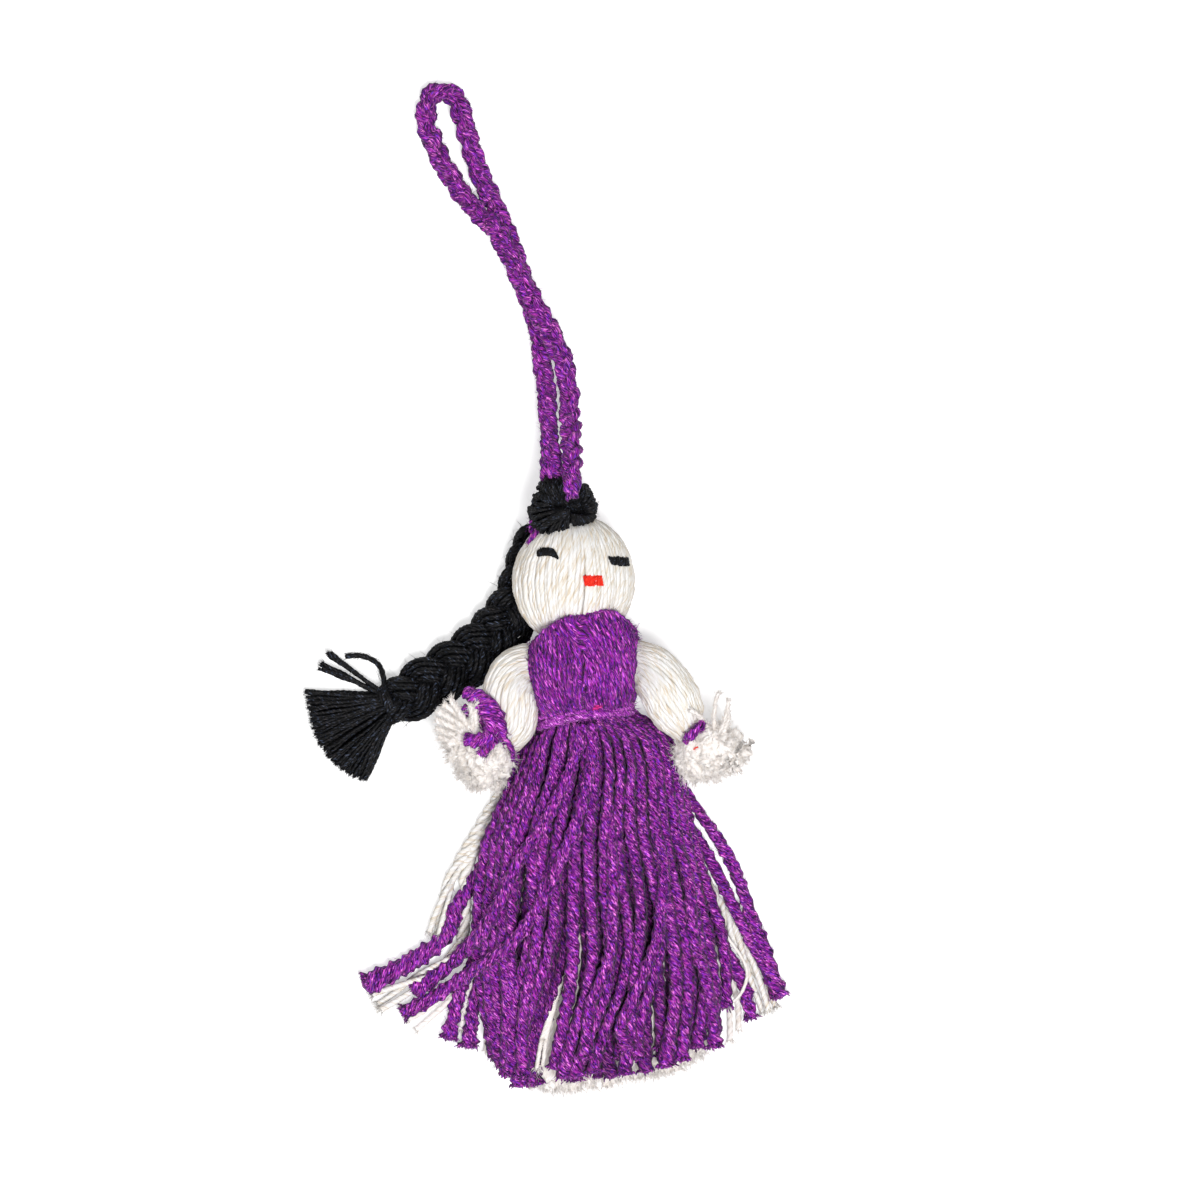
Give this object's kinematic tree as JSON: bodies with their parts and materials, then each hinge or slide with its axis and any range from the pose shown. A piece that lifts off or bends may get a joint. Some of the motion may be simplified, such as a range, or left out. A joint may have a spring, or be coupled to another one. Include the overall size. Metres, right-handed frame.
{
  "type": "yarn doll",
  "caption": "Yarn doll lying on its back: wound cream head and arms, purple bodice and fringed skirt, black plait and tassel, hanging loop of plaited cord.",
  "frame": {"origin": "under the waist tie, on the surface that the doll lies on", "axes": "+X to the viewer's right, +Y from the waist to the head, +Z out of the doll's front"},
  "size_m": [0.0824, 0.1846, 0.021],
  "materials": {
    "purple_yarn": "plied acrylic yarn, heathered violet and magenta",
    "cream_cotton": "soft plied cotton",
    "black_yarn": "plied acrylic yarn",
    "red_thread": "stitched thread",
    "wadding": "loose wadding"
  },
  "bodies": {
    "gown_body": {"torso_core": "cream_cotton", "neck_tie": "cream_cotton", "bodice_front": "purple_yarn", "bodice_back": "purple_yarn", "waist_tie": "purple_yarn", "skirt_front": "purple_yarn", "skirt_back": "purple_yarn", "underskirt": "cream_cotton", "loose_yarn_left_1": "cream_cotton", "loose_yarn_left_2": "cream_cotton", "loose_yarn_left_3": "purple_yarn", "loose_yarn_left_4": "purple_yarn", "loose_yarn_left_5": "purple_yarn", "loose_yarn_left_6": "purple_yarn", "loose_yarn_front_1": "purple_yarn", "loose_yarn_front_2": "purple_yarn", "loose_yarn_right_1": "purple_yarn", "loose_yarn_right_2": "cream_cotton", "loose_yarn_right_3": "purple_yarn"},
    "head_body": {"head_core": "wadding", "head_yarn": "cream_cotton", "left_eye": "black_yarn", "right_eye": "black_yarn", "mouth": "red_thread", "crest_left": "black_yarn", "crest_right": "black_yarn", "crown_tie": "purple_yarn", "loop_end_left": "purple_yarn", "loop_end_right": "purple_yarn"},
    "plait_body": {"plait_strand_1": "black_yarn", "plait_strand_2": "black_yarn", "plait_strand_3": "black_yarn", "plait_tie": "black_yarn", "plait_tie_tail": "black_yarn"},
    "tassel_body": {"tassel": "black_yarn"},
    "left_arm_body": {"left_arm": "cream_cotton", "left_wrist_tie": "purple_yarn", "left_hand": "cream_cotton"},
    "right_arm_body": {"right_arm": "cream_cotton", "right_wrist_tie": "purple_yarn", "right_hand": "cream_cotton"},
    "loop_body": {"hanging_loop": "purple_yarn"}
  },
  "joints": [
    {"name": "head_tilt", "type": "hinge", "parent": "gown_body", "child": "head_body", "pos_m": [0, 0.014, 0], "axis": [0, 0, 1], "range_deg": [-8, 8]},
    {"name": "plait_swing", "type": "hinge", "parent": "head_body", "child": "plait_body", "pos_m": [-0.00828, 0.0347, 0], "axis": [0, 0, 1], "range_deg": [-60, 0]},
    {"name": "tassel_bend", "type": "hinge", "parent": "plait_body", "child": "tassel_body", "pos_m": [-0.03723, 0.00572, 0], "axis": [0, 0, 1], "range_deg": [-20, 20]},
    {"name": "left_arm_swing", "type": "hinge", "parent": "gown_body", "child": "left_arm_body", "pos_m": [-0.0104, 0.0112, 0], "axis": [0, 0, 1], "range_deg": [-60, 0]},
    {"name": "right_arm_swing", "type": "hinge", "parent": "gown_body", "child": "right_arm_body", "pos_m": [0.0104, 0.0112, 0], "axis": [0, 0, 1], "range_deg": [0, 60]},
    {"name": "loop_swing", "type": "hinge", "parent": "head_body", "child": "loop_body", "pos_m": [-0.00065, 0.04218, 0], "axis": [0, 0, 1], "range_deg": [-25, 25]}
  ]
}
